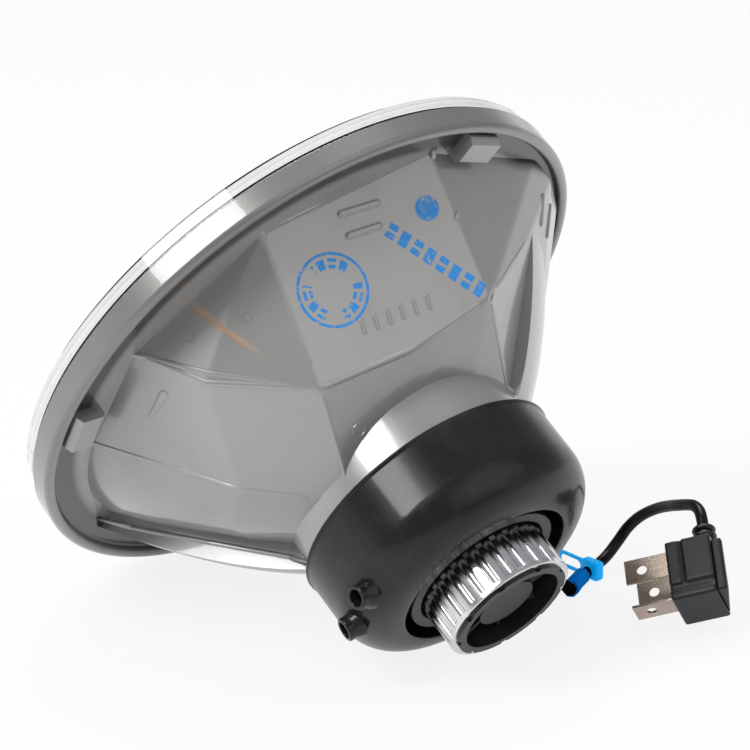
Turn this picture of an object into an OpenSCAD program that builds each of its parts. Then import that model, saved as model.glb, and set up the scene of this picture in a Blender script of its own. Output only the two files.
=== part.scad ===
/* [Rim and flange] */
// Outer diameter of the rim
rim_d = 178; // [150:1:190]
// Rear lip of the rim behind the flange plane
rim_h = 7.4; // [6.8:0.1:9]
// Front edge of the rim before the flange plane
rim_front = 0.5; // [0.3:0.1:2.4]
// Thickness of the rim wall
rim_wall = 3.4; // [3.2:0.1:4.4]
// Rounding of the rim's rear lip, outside
rim_round = 1.9; // [0.8:0.1:2]
// Depth of the recess behind the flange
recess_depth = 2.6; // [2:0.1:3.4]
// Thickness of the flange plate
flange_t = 2.8; // [2:0.1:3.4]
// Width of each seating lug along the rim
lug_w = 13; // [8:0.5:18]
// Depth of each seating lug, towards the axis
lug_depth = 8.6; // [5:0.1:10]
// Height of each seating lug above the flange
lug_h = 5; // [3:0.1:7]
// Angle of the two upper lugs from the lamp's own top
lug_angle = 55; // [50:1:60]

/* [Housing back] */
// Inset of the round back from the rim's outer edge, in the flange plane
back_inset = 5; // [4:0.5:9]
// Depth of the round back's vertex behind the flange plane
back_depth = 73.5; // [71:0.5:76]
// Wall thickness of the housing
wall = 3.4; // [2.6:0.1:4]
// Rise of the curved side panel between its two edges
side_bulge = 1.2; // [0.4:0.1:2]
// Outer diameter of the neck that the boot grips
neck_d = 74.6; // [71:0.2:77]
// End of the neck behind the flange plane
neck_end = 74; // [71:0.5:77]
// Bulb seat behind the flange plane
seat_z = 63; // [61.5:0.1:64]
// Diameter of the bulb hole
bulb_hole_d = 39; // [36:0.5:42]
// Turn of the lamp's own top from upright as it lies
roll = 38; // [30:1:46]

/* [Lens] */
// Thickness of the lens glass
lens_t = 3.2; // [2.4:0.1:4]
// Reach of the lens skirt before the flange plane
skirt_h = 5.4; // [4.8:0.1:9]
// Gap between the lens skirt and the rim's outer face
skirt_inset = 1.2; // [0.8:0.1:2]
// Rise of the lens dome in front of the skirt
dome_h = 13; // [8:0.5:18]
// Depth of the lens groove in the flange
groove_depth = 1.4; // [1:0.1:1.8]
// Thickness of the seal in the groove
seal_t = 0.9; // [0.5:0.1:0.9]
// Side clearance of the lens and the seal in the groove
groove_clear = 0.3; // [0.1:0.05:0.5]

/* [Boot] */
// Thickness of the rubber boot where it grips the neck
boot_grip_t = 2.7; // [1.8:0.1:4]
// Front edge of the boot behind the flange plane
boot_front = 64.4; // [63:0.1:66]
// Rear face of the boot behind the flange plane
boot_rear = 93.1; // [91:0.1:96]
// Rounding of the boot's rear edge
boot_round = 13; // [9:0.5:13]
// Wall thickness of the boot
boot_wall = 2.4; // [1.8:0.1:2.6]
// Diameter of the boot's rear opening
boot_open_d = 52.8; // [50:0.2:53.6]
// Clearance between the boot and the neck
boot_clear = 0.1; // [0.05:0.05:0.3]
// Outer diameter of a vent nipple
nipple_d = 7; // [6:0.2:7.6]
// Bore of a vent nipple
nipple_bore_d = 4.8; // [3:0.2:5]
// Reach of a vent nipple beyond the boot's side
nipple_len = 2.2; // [1.6:0.2:5]
// Place of the nipples behind the flange plane
nipple_z = 86.4; // [85:0.2:87]
// Angle of the upper vent nipple from straight down, towards the left
nipple_high = 90; // [86:1:110]
// Angle of the lower vent nipple from straight down, towards the left
nipple_low = 68; // [50:1:70]

/* [Bulb] */
// Diameter of the bulb flange
bulb_flange_d = 43; // [42:0.2:45]
// Thickness of the bulb flange
bulb_flange_t = 1.2; // [0.8:0.1:1.6]
// Reach of the three flange tabs from the axis
tab_r = 26; // [24.5:0.1:27]
// Width of each flange tab
tab_w = 8; // [5:0.5:10]
// Diameter of the bulb base
base_d = 30; // [28:0.5:31]
// Diameter of the bulb's stem root in the bulb hole
root_d = 20; // [16:0.5:24]
// Width of the lamp stem
stem_w = 11; // [8:0.5:13]
// Thickness of the lamp stem
stem_t = 5; // [3.5:0.1:6]
// Length of the lamp stem in front of the bulb seat
stem_len = 46; // [40:0.5:48]
// Length of each light chip
chip_len = 7; // [4:0.5:9]
// Width of each light chip
chip_w = 3; // [2:0.1:4]
// Thickness of each light chip
chip_t = 0.6; // [0.3:0.1:1]
// Distance from the stem's foot to the front light chip
chip_front = 12; // [8:0.5:16]
// Distance from the stem's root back to the rear light chip
chip_back = 16; // [12:0.5:20]
// Diameter of the wire of the retaining clip
clip_wire_d = 1.6; // [1.2:0.1:2]
// Diameter of the clip screws' shank
screw_d = 3; // [2:0.1:3.6]
// Diameter of the clip screws' flat head
screw_head_d = 5.4; // [4:0.2:6]

/* [Heat sink and fan] */
// Outer diameter of the heat sink
sink_d = 39; // [37:0.2:39.4]
// Rear end of the heat sink behind the flange plane
sink_end = 105; // [100:0.5:110]
// Number of flutes round the heat sink
flutes = 28; // [20:1:32]
// Diameter of the cutter that makes each flute
flute_d = 3; // [2.2:0.1:3.4]
// Depth of each flute
flute_depth = 0.9; // [0.5:0.1:1.2]
// Inner diameter of the fan seat in the heat sink
fan_bore_d = 33.6; // [32.6:0.1:34.4]
// Depth of the fan seat
fan_seat_depth = 10; // [9:0.1:12]
// Diameter of the fan hub
hub_d = 17.6; // [15:0.2:19]
// Diameter of the fan's shaft
fan_shaft_d = 2; // [1.5:0.1:3]
// Running clearance round the fan's shaft, on the radius
shaft_clear = 0.06; // [0.02:0.01:0.1]
// Number of fan blades
fan_blades = 7; // [5:1:9]
// Gap between the blade tips and the fan frame
tip_gap = 0.7; // [0.5:0.1:1.2]
// Outer diameter of the twist collar
collar_d = 46.8; // [45.6:0.2:48]
// Inner diameter of the twist collar
collar_bore_d = 40.6; // [40:0.2:42]
// Rear end of the twist collar behind the flange plane
collar_end = 91.6; // [88:0.2:94]

/* [Lead and plug] */
// Diameter of the lead
cord_d = 3.4; // [2.6:0.1:4]
// Width of the plug body across its blades
plug_w = 17; // [16:0.5:19]
// Depth of the plug body from its blade face to its cover
plug_depth = 13.4; // [12:0.1:15]
// Thickness of the plug's wedge-shaped cover
cover_t = 3; // [2:0.1:4]
// Width of each blade
blade_w = 7.5; // [6.3:0.1:7.9]
// Thickness of each blade
blade_t = 0.8; // [0.6:0.1:1]
// Length of each blade outside the plug
blade_len = 12.4; // [10:0.2:15]
// Distance between the two side blades
blade_gap = 14.1; // [13:0.1:14.6]
// Diameter of the hole in each blade
blade_hole_d = 3; // [2:0.1:3.4]
// Diameter of the plug's ribbed strain relief
relief_d = 7; // [5.6:0.1:8]
// Wall of the sleeve round the lead
sleeve_t = 0.8; // [0.4:0.1:0.8]
// Length of the tag on the lead
tag_len = 18; // [16:0.5:24]
// Thickness of the tag on the lead
tag_t = 0.8; // [0.6:0.1:1.2]

/* [Hidden] */
$fn = 96;

rim_r = rim_d / 2;
flange_back = rim_h - recess_depth;
flange_front = flange_back - flange_t;
back_r = rim_r - back_inset;
neck_r = neck_d / 2;
seat_r = neck_r - wall + 0.6;
boot_in_r = neck_r + boot_clear;
boot_r = boot_in_r + boot_grip_t;
boot_open_r = boot_open_d / 2;
// The boot's rounding ends before its rear opening
boot_bend = min(boot_round, boot_r - boot_open_r - 0.7);
sink_r = sink_d / 2;
base_z = flange_back - 0.8;
skirt_r = rim_r - skirt_inset;
skirt_in_r = skirt_r - lens_t;
overlap = 1;

// How the lamp lies: on the rear lip of its rim and on the boot's rounded edge
rise_r = rim_r - rim_round - (boot_r - boot_bend);
rise_z = boot_rear - boot_bend - (rim_h - rim_round);
tilt = acos((boot_bend - rim_round) / norm([rise_r, rise_z])) - atan(rise_z / rise_r);
frame_out_r = fan_bore_d / 2 - 0.1;
frame_lip_r = frame_out_r + 1.4;
frame_lip_t = 1.2;
reach_back = (sink_end + frame_lip_t) * cos(tilt) + frame_lip_r * sin(tilt);
reach_front = skirt_h * cos(tilt) + skirt_r * sin(tilt);
lamp_y = (reach_back - reach_front) / 2;
lamp_z = (rim_r - rim_round) * cos(tilt) + (rim_h - rim_round) * sin(tilt) + rim_round;

module as_it_lies() {
    translate([0, lamp_y, lamp_z]) rotate([90 + tilt, 0, 0]) rotate([0, 0, roll]) children();
}

// A point of the lamp as it lies: radius, angle from straight down towards the left, depth
function lying(r, angle, z) = [-r * sin(angle), lamp_y + r * sin(tilt) * cos(angle) - z * cos(tilt),
    lamp_z - r * cos(tilt) * cos(angle) - z * sin(tilt)];

module from_down(angle) {
    rotate([0, 0, 180 - roll - angle]) children();
}

// Angles run anticlockwise from the lamp's own top, seen from behind
function round_back(z) = back_r * sqrt(max(0, 1 - z / back_depth));
function at(z, r, angle) = [-r * sin(angle), r * cos(angle), z];

// Corners of the faceted panels: angle, depth, and how far each lies outside the round back
base_corners = [[-79.6, base_z, 0.1], [-81.3, base_z, 2], [-45, base_z, -4.4], [-2.3, base_z, -8.5],
    [36.4, base_z, -8.2], [66, base_z, -8.4]];
far_corners = [[-88, 8, 4.6], [-100, 8, 4.8], [-112, 8, 4.6], [-124, 8, 3], [-136, 8, 1]];
panel_corners = [[-76.5, 25.2, -0.2], [-100, 38, -0.6], [-51, 42.1, 2.9], [-21.6, 45.1, -4], [9, 43.5, 2.2],
    [29, 24.2, -1.5], [52, 43.4, -1.4]];
// Where the panels run into the neck, as angle and depth
neck_corners = [[-84, 57.5], [-52, 53.4], [-14.4, 53.1], [6, 54.9], [29, 60.3], [42.6, 59.6], [70, 57], [97, 52.5]];
neck_inset = 2.3;
// Lower edge of the curved side panel: depth and radius
step_angle = 101;
side_angle = 97;
side_edge = [[base_z, -5], [19.3, -6.6], [42.6, -9.6], [50.6, -10.5]];
ridge_edge = [[base_z, 66, -8.4], [19.3, 61.6, -7.4], [43.4, 52, -1.4], [57.1, 42.6, -2]];
side_steps = 7;

function corner(p) = [p[1], round_back(p[1]) + p[2], p[0]];
function side_row(i) = [for (k = [1:side_steps]) let (s = k / side_steps)
    [ridge_edge[i][0] + (side_edge[i][0] - ridge_edge[i][0]) * s,
        (round_back(ridge_edge[i][0]) + ridge_edge[i][2]) * (1 - s)
        + (round_back(side_edge[i][0]) + side_edge[i][1]) * s + side_bulge * min(1, 0.4 + i) * sin(180 * s),
        ridge_edge[i][1] + (side_angle - ridge_edge[i][1]) * s]];
outer_corners = concat([for (p = base_corners) corner(p)], [for (p = far_corners) corner(p)],
    [for (p = panel_corners) corner(p)],
    [for (p = neck_corners) [p[1], neck_r - neck_inset, p[0]]],
    [for (i = [0:len(side_edge) - 1]) each side_row(i)]);
// Share of the wall by which the inner surface moves along the axis and towards it
inward_z = 0.65;
inward_r = 0.77;
inner_corners = [for (p = outer_corners) [p[0] - wall * inward_z, p[1] - wall * inward_r, p[2]]];
// Points that carry the inner form across the axis, under the step
floor_corners = [[-overlap, back_r * 0.7, 130], [back_depth * 0.5, back_r * 0.36, 130],
    [-overlap, back_r * 0.7, -110], [back_depth * 0.5, back_r * 0.36, -110]];
round_steps = 14;

module form(corners) {
    hull() {
        polyhedron(points = [for (p = corners) at(p[0], p[1], p[2])],
            faces = [for (i = [0:len(corners) - 3]) [i, i + 1, i + 2]]);
    }
}

module round_form(offset_z, offset_r, front, end) {
    rotate_extrude() polygon(concat([[0, front]], [[round_back(base_z + offset_z) - offset_r, front]],
        [for (i = [0:round_steps]) let (z = base_z + (end - base_z) * i / round_steps)
            [round_back(z + offset_z) - offset_r, z]],
        [[0, end]]));
}

module lower_half(angle, shift) {
    rotate([0, 0, angle]) translate([-2 * rim_r, -rim_r, -rim_r]) translate([-shift, 0, 0])
        cube([2 * rim_r, 2 * rim_r, 3 * rim_r]);
}

module outer_form() {
    form(outer_corners);
    intersection() {
        round_form(0, 0, base_z, seat_z - 3);
        lower_half(step_angle, 0);
    }
}

module inner_form() {
    form(concat(inner_corners, floor_corners, [for (p = inner_corners) if (p[0] < base_z) [-overlap, p[1], p[2]]]));
    intersection() {
        round_form(wall * inward_z, wall * inward_r, -overlap, seat_z - 8);
        lower_half(step_angle, wall);
    }
}

module flange_ring() {
    lip_in = rim_r - rim_wall;
    lip_round = 1.2;
    groove_in = skirt_in_r - groove_clear;
    groove_out = skirt_r + groove_clear;
    rotate_extrude() polygon(concat(
        [[round_back(base_z) - 16, flange_front], [groove_in - 3, flange_front], [groove_in - 2, 0], [groove_in, 0],
            [groove_in, groove_depth], [groove_out, groove_depth], [groove_out, -rim_front],
            [rim_r - 0.3, -rim_front], [rim_r, 0.3 - rim_front]],
        [for (a = [0:15:90]) [rim_r - rim_round * (1 - cos(a)), rim_h - rim_round * (1 - sin(a))]],
        [for (a = [90:15:180]) [lip_in + lip_round * (1 + cos(a)), rim_h - lip_round * (1 - sin(a))]],
        [[lip_in, flange_back], [round_back(base_z) - 16, flange_back]]));
}

module lug() {
    top = flange_back + lug_h;
    out = rim_r - rim_wall - 0.6;
    bevel = 1.1;
    translate([-lug_w / 2, 0, 0]) rotate([90, 0, 90]) linear_extrude(lug_w)
        polygon([[out, flange_back - overlap], [out, top - 2 * bevel], [out - bevel, top],
            [out - lug_depth + bevel, top], [out - lug_depth, top - bevel], [out - lug_depth, flange_back - overlap]]);
}

// The clip screws stand between the flange's tabs, with their flat heads under the clip
screw_r = (bulb_flange_d + screw_head_d) / 2 + 0.6;
screw_places = [at(seat_z, screw_r, 60), at(seat_z, screw_r, 180)];

module reflector_housing() color("#9b9c9e") as_it_lies() {
    difference() {
        union() {
            flange_ring();
            outer_form();
            translate([0, 0, base_z + 30]) cylinder(r = neck_r, h = neck_end - base_z - 30);
            for (a = [lug_angle, -lug_angle, 180]) rotate([0, 0, a]) lug();
        }
        inner_form();
        translate([0, 0, base_z + 20]) cylinder(d = bulb_hole_d, h = neck_end);
        translate([0, 0, seat_z]) cylinder(r = seat_r, h = neck_end);
        for (p = screw_places) translate([p[0], p[1], seat_z - 4]) cylinder(d = screw_d, h = 5);
    }
}

// The lens is a dome on a straight skirt, one thickness all over
function dome_z(r, outer) = -skirt_h - dome_h * (1 - pow(r / outer, 2));
dome_steps = 16;

module front_lens() color("#e8eef2", 0.35) as_it_lies() {
    skirt_end = groove_depth - seal_t;
    rotate_extrude() polygon(concat(
        [for (i = [0:dome_steps]) let (r = skirt_r * i / dome_steps) [r, dome_z(r, skirt_r)]],
        [[skirt_r, skirt_end], [skirt_in_r, skirt_end]],
        [for (i = [dome_steps:-1:0]) let (r = skirt_in_r * i / dome_steps) [r, dome_z(r, skirt_in_r) + lens_t]]));
}

module lens_seal() color("#2b2c2e") as_it_lies() {
    rotate_extrude() translate([skirt_in_r, groove_depth - seal_t]) square([lens_t, seal_t]);
}

boot_grip = neck_end - boot_front - 2;

module nipple_at(angle) {
    from_down(angle) translate([0, 0, nipple_z]) rotate([-90, 0, 0]) children();
}

module rubber_boot() color("#3a3b3e") as_it_lies() {
    lip = 0.5;
    mid_r = boot_r - boot_bend;
    mid_z = boot_rear - boot_bend;
    in_r = boot_r - boot_wall;
    in_bend = boot_bend - boot_wall;
    difference() {
        union() {
            rotate_extrude() polygon(concat(
                [[boot_in_r, boot_front], [boot_r + lip, boot_front], [boot_r + lip, boot_front + 1],
                    [boot_r, boot_front + 1.4]],
                [for (a = [0:10:90]) [mid_r + boot_bend * cos(a), mid_z + boot_bend * sin(a)]],
                [[boot_open_r, boot_rear], [boot_open_r, boot_rear - 2.4 * boot_wall],
                    [boot_open_r + 0.7, boot_rear - 2.4 * boot_wall]],
                [for (a = [80:-10:0]) [mid_r + in_bend * cos(a), mid_z + in_bend * sin(a)]],
                [[in_r, boot_front + boot_grip + 1], [boot_in_r, boot_front + boot_grip]]));
            for (a = [nipple_high, nipple_low]) nipple_at(a) {
                translate([0, 0, boot_r - 5]) cylinder(d1 = nipple_d + 1.4, d2 = nipple_d + 0.2, h = 5, $fn = 48);
                translate([0, 0, boot_r - 0.1]) cylinder(d = nipple_d, h = nipple_len + 0.1, $fn = 48);
            }
        }
        for (a = [nipple_high, nipple_low]) nipple_at(a) translate([0, 0, boot_r - boot_bend + 1])
            cylinder(d = nipple_bore_d, h = boot_bend + nipple_len, $fn = 48);
    }
}

flange_z = seat_z + bulb_flange_t;
base_end = flange_z + 7.2;
collar_floor_z = base_end - 3;
stem_root = seat_z - 5;

module bulb_flange() color("#b9bbbd") as_it_lies() {
    difference() {
        translate([0, 0, seat_z]) union() {
            cylinder(d = bulb_flange_d, h = bulb_flange_t);
            for (a = [0, 120, 240]) rotate([0, 0, a]) translate([-tab_w / 2, 0, 0])
                cube([tab_w, tab_r, bulb_flange_t]);
        }
        translate([0, 0, seat_z - overlap]) cylinder(d = root_d, h = bulb_flange_t + 2 * overlap);
    }
}

module bulb_base() color("#242528") as_it_lies() {
    translate([0, 0, flange_z]) cylinder(d = base_d, h = base_end - flange_z);
    translate([0, 0, stem_root]) cylinder(d = root_d, h = base_end - stem_root);
}

module octagon(r) {
    polygon([for (i = [0:7]) [r * cos(45 * i + 22.5), r * sin(45 * i + 22.5)] / cos(22.5)]);
}

module base_ring() color("#1d1d1f") as_it_lies() {
    ring_r = 1.4;
    translate([0, 0, flange_z + ring_r]) rotate_extrude()
        translate([base_d / 2 + ring_r, 0]) octagon(ring_r);
}

module lamp_stem() color("#c9a27c") as_it_lies() {
    translate([-stem_w / 2, -stem_t / 2, stem_root - stem_len + 5]) cube([stem_w, stem_t, stem_len - 5]);
}

low_chip_z = stem_root - stem_len + chip_front;
high_chip_z = stem_root - chip_back;

module light_chips() color("#e6c84a") as_it_lies() {
    for (z = [low_chip_z, high_chip_z], side = [0, 180]) rotate([0, 0, side])
        translate([-chip_w / 2, stem_t / 2, z]) cube([chip_w, chip_t, chip_len]);
}

module beam_shield() color("#d4d6d8") as_it_lies() {
    shield_r = stem_w / 2 + 1.6;
    shield_t = 0.6;
    translate([0, 0, low_chip_z - 3]) difference() {
        cylinder(r = shield_r, h = chip_len + 7);
        translate([0, 0, shield_t]) cylinder(r = shield_r - shield_t, h = chip_len + 9);
        translate([-2 * shield_r, stem_t / 2 - 1, -overlap]) cube([4 * shield_r, 4 * shield_r, chip_len + 9]);
        translate([-stem_w / 2, -stem_t / 2, -overlap]) cube([stem_w, stem_t, 2 * overlap + shield_t]);
    }
}

clip_r = 23.6;

module retaining_clip() color("#c2c4c6") as_it_lies() {
    z = flange_z + clip_wire_d / 2;
    translate([0, 0, z]) rotate([0, 0, 75]) rotate_extrude(angle = 300)
        translate([clip_r, 0]) octagon(clip_wire_d / 2);
}

module clip_screws() color("#a9abad") as_it_lies() {
    for (p = screw_places) {
        translate([p[0], p[1], seat_z]) cylinder(d = screw_head_d, h = bulb_flange_t - 0.2, $fn = 48);
        translate([p[0], p[1], seat_z - 3.6]) cylinder(d = screw_d - 0.1, h = 4, $fn = 48);
    }
}

module twist_collar() color("#4a4b4e") as_it_lies() {
    difference() {
        translate([0, 0, collar_floor_z]) cylinder(d = collar_d, h = collar_end - collar_floor_z);
        translate([0, 0, base_end]) cylinder(d = collar_bore_d, h = collar_end);
        translate([0, 0, collar_floor_z - overlap]) cylinder(d = base_d + 0.1, h = collar_end);
    }
}

driver_d = 26;
driver_t = 1.6;
fan_floor = sink_end - fan_seat_depth;
driver_z = fan_floor - 5;
gland_angle = 290;
gland_z = 98;
gland_w = 6.4;
gland_out = 25.5;
gland_seat_r = sink_r - 1.6;

module heat_sink() color("#d8dadc") as_it_lies() {
    difference() {
        translate([0, 0, base_end]) cylinder(d = sink_d, h = sink_end - base_end);
        for (i = [0:flutes - 1]) rotate([0, 0, 360 * i / flutes])
            translate([0, sink_r + flute_d / 2 - flute_depth, base_end + 2])
            cylinder(d = flute_d, h = sink_end, $fn = 24);
        translate([0, 0, fan_floor]) cylinder(d = fan_bore_d, h = sink_end);
        translate([0, 0, driver_z]) cylinder(d = driver_d, h = sink_end);
        from_down(gland_angle) translate([-gland_w / 2, gland_seat_r, gland_z - gland_w / 2])
            cube([gland_w, sink_r, gland_w]);
    }
}

module driver_board() color("#1f5a3a") as_it_lies() {
    translate([0, 0, driver_z]) cylinder(d = driver_d - 0.4, h = driver_t);
    translate([-5, -4, driver_z + driver_t]) cube([8, 6, 2]);
}

frame_in_r = frame_out_r - 1.5;
motor_d = 11;
motor_z = fan_floor + 1.2;
motor_end = motor_z + 3;
rotor_z = motor_z + 0.6;
rotor_end = sink_end - 1.6;

module fan_frame() color("#151617") as_it_lies() {
    notches = 9;
    difference() {
        union() {
            translate([0, 0, fan_floor]) cylinder(r = frame_out_r, h = sink_end - fan_floor + frame_lip_t);
            translate([0, 0, sink_end]) cylinder(r = frame_lip_r, h = frame_lip_t);
        }
        translate([0, 0, motor_z]) cylinder(r = frame_in_r, h = sink_end);
        for (i = [0:notches - 1]) rotate([0, 0, 360 * i / notches])
            translate([-1, frame_out_r + 0.3, sink_end + 0.4]) cube([2, 5, 2]);
        for (i = [0:2]) rotate([0, 0, 120 * i]) translate([0, 0, fan_floor - overlap]) difference() {
            rotate_extrude(angle = 104) translate([motor_d / 2 + 1, 0])
                square([frame_in_r - motor_d / 2 - 2.6, 3]);
        }
    }
}

module fan_motor() color("#8c6a4a") as_it_lies() {
    translate([0, 0, motor_z]) cylinder(d = motor_d, h = motor_end - motor_z);
    translate([0, 0, motor_z]) cylinder(d = fan_shaft_d, h = rotor_end - motor_z - 1.2);
}

module fan_rotor() color("#3b3c3e") as_it_lies() {
    tip_r = frame_in_r - tip_gap;
    cup = 1;
    difference() {
        union() {
            translate([0, 0, rotor_z]) cylinder(d = hub_d, h = rotor_end - rotor_z);
            for (i = [0:fan_blades - 1]) rotate([0, 0, 360 * i / fan_blades])
                translate([hub_d / 2 - 0.6, 0, (rotor_z + rotor_end) / 2]) rotate([38, 0, 0])
                translate([0, -0.35, -2.7]) cube([tip_r - hub_d / 2 + 0.4, 0.7, 5.4]);
        }
        translate([0, 0, rotor_z - overlap]) cylinder(d = motor_d + 1, h = motor_end + 0.4 - rotor_z + overlap);
        translate([0, 0, rotor_z - overlap]) cylinder(r = fan_shaft_d / 2 + shaft_clear, h = rotor_end - rotor_z);
    }
}

module cord_gland() color("#1b1c1e") as_it_lies() {
    from_down(gland_angle) {
        translate([-gland_w / 2, gland_seat_r, gland_z - gland_w / 2])
            cube([gland_w, sink_r - gland_seat_r + 1.6, gland_w]);
        translate([0, sink_r + 1.6, gland_z]) rotate([-90, 0, 0])
            cylinder(d1 = gland_w - 0.4, d2 = cord_d + 1, h = gland_out - sink_r - 1.6, $fn = 48);
    }
}

// The lead's route along its middle, from the gland to the plug's strain relief
route = concat([lying(gland_out, gland_angle, gland_z), lying(gland_out + 5, gland_angle, gland_z)],
    [[33.5, -51.5, 15.2], [38.5, -48, 11.6], [43.5, -43.5, 8], [49, -38.5, 5], [55, -34, 3.6], [61.5, -30.5, 3],
    [68.5, -28, 2.7], [75, -26.5, 3.8], [80.2, -26, 7], [83.6, -27, 11.2], [85.5, -30.4, 15.4], [85.9, -36.2, 19.4],
    [84.7, -42.5, 22.6], [83, -47.6, 24.9], [81.9, -52.2, 26.8], [80.9, -56, 28], [79.7, -59.3, 27.9],
    [78.3, -61.7, 26.8], [76.9, -63.8, 24.9]]);
cord_sides = 8;

function unit(v) = v / norm(v);
function heading(i) = unit(route[min(i + 1, len(route) - 1)] - route[max(i - 1, 0)]);
function ring(i, d) = let (ahead = heading(i), side = unit(cross(ahead, [0, 0, 1])), up = cross(side, ahead))
    [for (k = [0:cord_sides - 1]) let (a = 360 * (k + 0.5) / cord_sides)
        route[i] + d / 2 * (side * cos(a) + up * sin(a))];

// A tube along part of the route, from one of its points to another
module along_route(d, first, last) {
    n = cord_sides;
    end = (last - first) * n;
    polyhedron(points = [for (i = [first:last]) each ring(i, d)],
        faces = concat([[for (k = [n - 1:-1:0]) k]],
            [for (i = [0:last - first - 1], k = [0:n - 1]) each
                [[i * n + k, i * n + (k + 1) % n, (i + 1) * n + (k + 1) % n],
                [i * n + k, (i + 1) * n + (k + 1) % n, (i + 1) * n + k]]],
            [[for (k = [0:n - 1]) end + k]]));
}

module lead() color("#141416") {
    along_route(cord_d, 0, len(route) - 1);
}

module lead_sleeve() color("#0b5fb0") {
    difference() {
        along_route(cord_d + 2 * sleeve_t, 5, 7);
        along_route(cord_d, 4, 8);
    }
}

tag_x = 66.1;
tag_y = -32.4;
tag_z = 0.3;
tag_w = 5;

module lead_tag() color("#19a0f0") {
    slot_w = 3;
    slot_len = tag_len - 9.4;
    difference() {
        translate([tag_x, tag_y, tag_z]) rotate([90, 0, 90]) linear_extrude(tag_t) difference() {
            union() {
                translate([tag_w / 2, 0]) square([tag_len - tag_w, tag_w]);
                for (x = [tag_w / 2, tag_len - tag_w / 2]) translate([x, tag_w / 2]) circle(d = tag_w, $fn = 32);
            }
            translate([7.6 + slot_w / 2, (tag_w - slot_w) / 2]) square([slot_len - slot_w, slot_w]);
            for (x = [7.6 + slot_w / 2, 7.6 + slot_len - slot_w / 2]) translate([x, tag_w / 2])
                circle(d = slot_w, $fn = 32);
        }
        along_route(cord_d, 7, 9);
    }
}

// The plug lies on its lower rear corner: blades along +X of its own frame, the lead leaving along +Z
plug_place = [63.3, -64.1, 13.4];
plug_turn = [51.3, 17.3, 130.7];
plug_face = -1.2;
plug_back = plug_face - plug_depth;
plug_low = -12.3;
plug_high = 6.6;
blade_root = 5;
ground_z = -9.3;
relief_x = -11.7;
relief_end = 13.5;
blade_hole_x = 6.3;
blade_fit = 0.05;

module by_plug() {
    translate(plug_place) rotate(plug_turn) children();
}

module blade(long, wide, thick, clear) {
    translate([plug_face - blade_root - clear, -thick / 2 - clear, -wide / 2 - clear])
        cube([long + blade_root + clear, thick + 2 * clear, wide + 2 * clear]);
}

module side_blade(side, clear) {
    translate([0, side * blade_gap / 2, 0]) blade(blade_len, blade_w, blade_t, clear);
}

module ground_blade_shape(clear) {
    translate([0, 0, ground_z]) rotate([90, 0, 0]) blade(blade_len, blade_w, blade_t, clear);
}

module blade_hole() {
    rotate([90, 0, 0]) cylinder(d = blade_hole_d, h = 4, center = true, $fn = 48);
}

module plug_body() color("#3a3b3f") by_plug() {
    groove = 0.5;
    difference() {
        translate([plug_back, -plug_w / 2, plug_low]) cube([plug_depth, plug_w, plug_high - plug_low]);
        for (side = [-1, 1]) side_blade(side, blade_fit);
        ground_blade_shape(blade_fit);
        for (side = [0, 1]) mirror([0, side, 0]) translate([0, plug_w / 2 - groove, 0]) {
            translate([-6.2, 0, -7.6]) cube([1.1, 2, plug_high + 10]);
            translate([plug_back + 0.8, 0, -9.4]) cube([plug_depth - 1.6, 2, 1.4]);
        }
    }
}

module plug_cover() color("#2c2d30") by_plug() {
    side = plug_w / 2 - 0.4;
    translate([0, 0, plug_low + 0.4]) linear_extrude(plug_high - plug_low - 2.4)
        polygon([[plug_back, -side], [plug_back, side], [plug_back - cover_t, side], [plug_back - cover_t, side - 2]]);
}

module plug_relief() color("#17181a") by_plug() {
    r = relief_d / 2;
    translate([relief_x, 0, plug_high]) rotate_extrude($fn = 48) polygon([[0, 0], [r, 0], [r, 2.6], [r - 0.7, 2.6],
        [r - 0.7, 3.4], [r - 0.1, 3.4], [r - 0.1, 5.4], [cord_d / 2 + 0.5, relief_end - plug_high],
        [0, relief_end - plug_high]]);
}

module blade_left() color("#8a7f76") by_plug() {
    difference() {
        side_blade(1, 0);
        translate([blade_hole_x, blade_gap / 2, 0]) blade_hole();
    }
}

module blade_right() color("#8a7f76") by_plug() {
    difference() {
        side_blade(-1, 0);
        translate([blade_hole_x, -blade_gap / 2, 0]) blade_hole();
    }
}

module blade_ground() color("#c9b8b0") by_plug() {
    difference() {
        ground_blade_shape(0);
        translate([blade_hole_x, 0, ground_z]) rotate([90, 0, 0]) blade_hole();
    }
}

reflector_housing();
front_lens();
lens_seal();
rubber_boot();
bulb_flange();
bulb_base();
base_ring();
lamp_stem();
light_chips();
beam_shield();
retaining_clip();
clip_screws();
twist_collar();
heat_sink();
driver_board();
fan_frame();
fan_motor();
fan_rotor();
cord_gland();
lead();
lead_sleeve();
lead_tag();
plug_body();
plug_cover();
plug_relief();
blade_left();
blade_right();
blade_ground();
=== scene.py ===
import math

import bmesh
import bpy
from mathutils import Euler, Matrix, Vector
from mathutils.bvhtree import BVHTree


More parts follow.
